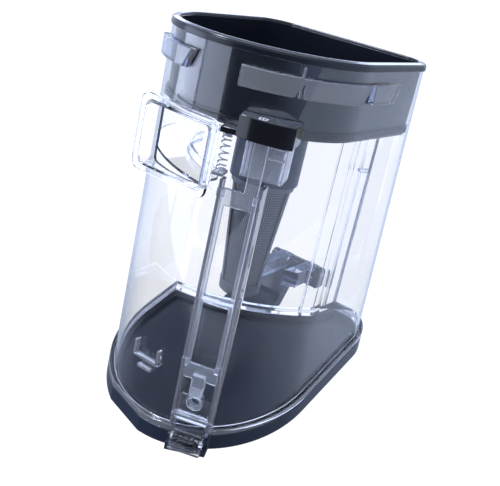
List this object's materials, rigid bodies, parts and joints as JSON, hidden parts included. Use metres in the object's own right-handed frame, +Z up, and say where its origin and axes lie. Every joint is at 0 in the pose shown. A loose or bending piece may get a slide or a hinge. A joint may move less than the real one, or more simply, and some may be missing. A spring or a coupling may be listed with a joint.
{
  "type": "cyclone dust bin",
  "caption": "Clear vacuum cleaner dust bin with a filter tray, a mesh separator cone, an inlet port and a bottom door released by a push button.",
  "frame": {"origin": "where the bin's own axis meets the table, at the middle rib under the door", "axes": "+Z up from the table, -Y towards the inlet port and the release column, +X to the right seen from the port; the bin's axis leans 20 degrees from +Z towards +Y"},
  "size_m": [0.1842, 0.291, 0.3028],
  "materials": {
    "clear_polycarbonate": "clear gloss",
    "slate_abs": "fine satin",
    "grey_abs": "satin",
    "steel_mesh": "fine woven mesh",
    "bright_steel": "bright drawn wire",
    "black_rubber": "matt",
    "black_abs": "satin",
    "white_acetal": "translucent"
  },
  "bodies": {
    "bin": {"bin_body": "clear_polycarbonate", "inlet_duct": "clear_polycarbonate", "inlet_ramp": "clear_polycarbonate", "button_housing": "clear_polycarbonate", "filter_tray": "slate_abs", "cone_collar": "slate_abs", "cone_frame": "grey_abs", "cone_cap": "grey_abs", "cone_mesh": "steel_mesh", "cone_screws": "bright_steel", "mouth_seal": "black_rubber", "tray_seal": "black_rubber", "hinge_pin": "bright_steel", "latch_pin": "bright_steel", "latch_spring": "bright_steel", "button_spring": "bright_steel"},
    "bottom_door": {"door": "slate_abs", "door_seal": "black_rubber"},
    "release": {"release_button": "black_abs", "push_rod": "white_acetal"},
    "latch_lever": {"latch": "clear_polycarbonate"}
  },
  "joints": [
    {"name": "door_hinge", "type": "hinge", "parent": "bin", "child": "bottom_door", "pos_m": [0, 0.11603, 0.03226], "axis": [1, 0, 0], "range_deg": [0, 85]},
    {"name": "button_slide", "type": "slide", "parent": "bin", "child": "release", "axis": [0, -0.342, -0.9397], "range_m": [0, 0.006], "stiffness_N_per_m": 500, "springref_m": -0.003, "deforming": ["button_spring"]},
    {"name": "latch_turn", "type": "hinge", "parent": "bin", "child": "latch_lever", "pos_m": [0.04323, -0.09078, 0.03091], "axis": [-0.9336, -0.3368, 0.1226], "range_deg": [0, 14], "stiffness_Nm_per_rad": 0.2, "deforming": ["latch_spring"]}
  ],
  "couplings": [
    {"joint": "latch_turn", "follows": "button_slide", "rad_per_m": 40.7}
  ]
}
